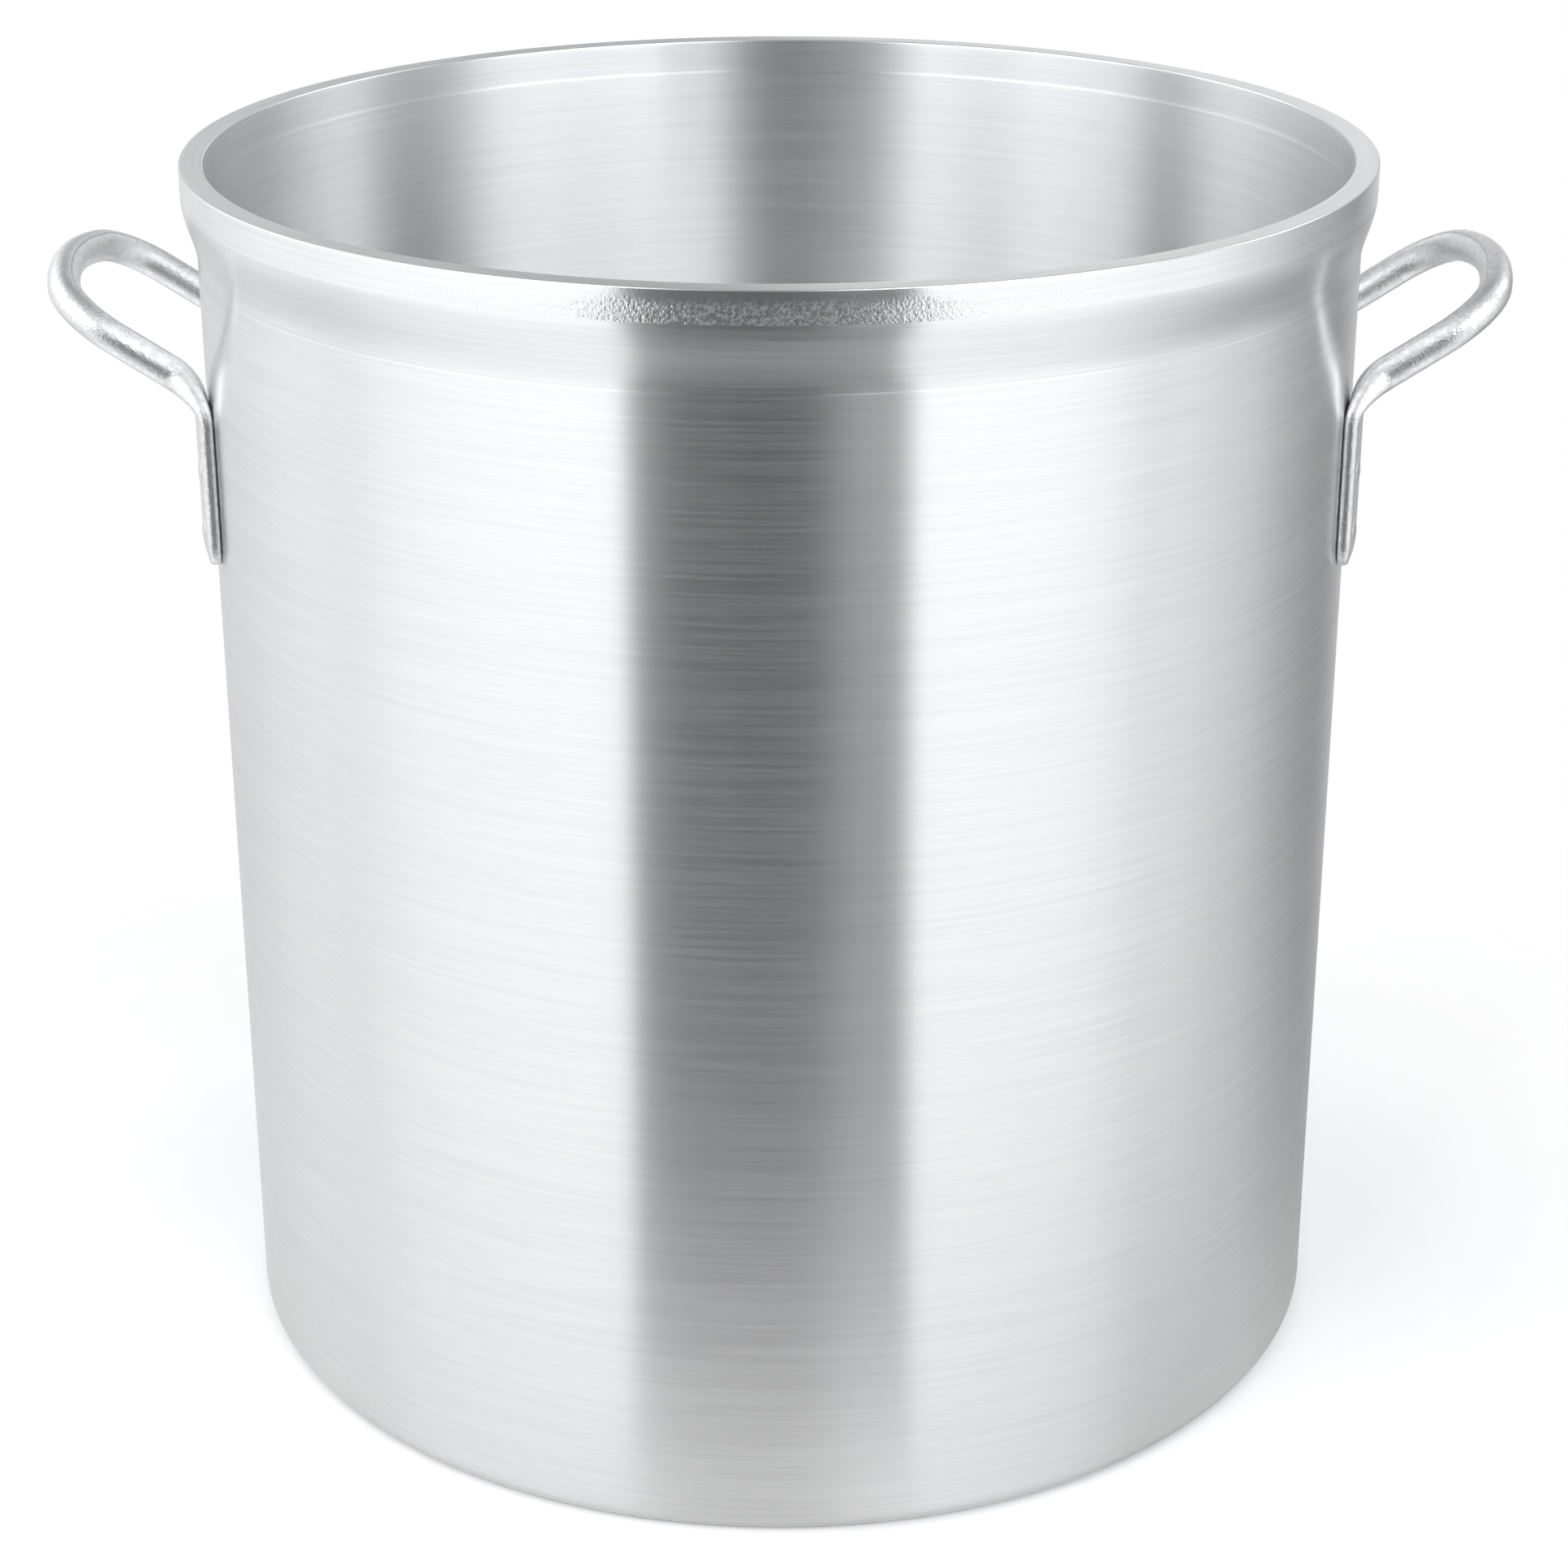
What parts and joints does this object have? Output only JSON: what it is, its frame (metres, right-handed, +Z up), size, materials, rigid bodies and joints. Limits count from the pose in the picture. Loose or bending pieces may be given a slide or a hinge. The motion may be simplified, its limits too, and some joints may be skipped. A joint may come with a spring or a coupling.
{
  "type": "stock pot",
  "caption": "Tall straight-sided aluminium stock pot with a thick flared rim and bent rod side handles riveted to the wall, for boiling and simmering in bulk.",
  "frame": {"origin": "centre of the underside of the base, on the surface that the pot stands on", "axes": "+Z up out of the mouth, X through the two handles, Y across them"},
  "size_m": [0.5746, 0.464, 0.489],
  "materials": {
    "brushed_aluminium": "fine circumferential brushing",
    "rod_aluminium": "tumbled satin",
    "rivet_aluminium": "satin"
  },
  "bodies": {
    "root": {"pot_body": "brushed_aluminium", "handle_left": "rod_aluminium", "handle_right": "rod_aluminium", "rivet_left_front_upper": "rivet_aluminium", "rivet_left_front_lower": "rivet_aluminium", "rivet_left_rear_upper": "rivet_aluminium", "rivet_left_rear_lower": "rivet_aluminium", "rivet_right_front_upper": "rivet_aluminium", "rivet_right_front_lower": "rivet_aluminium", "rivet_right_rear_upper": "rivet_aluminium", "rivet_right_rear_lower": "rivet_aluminium"}
  },
  "joints": []
}
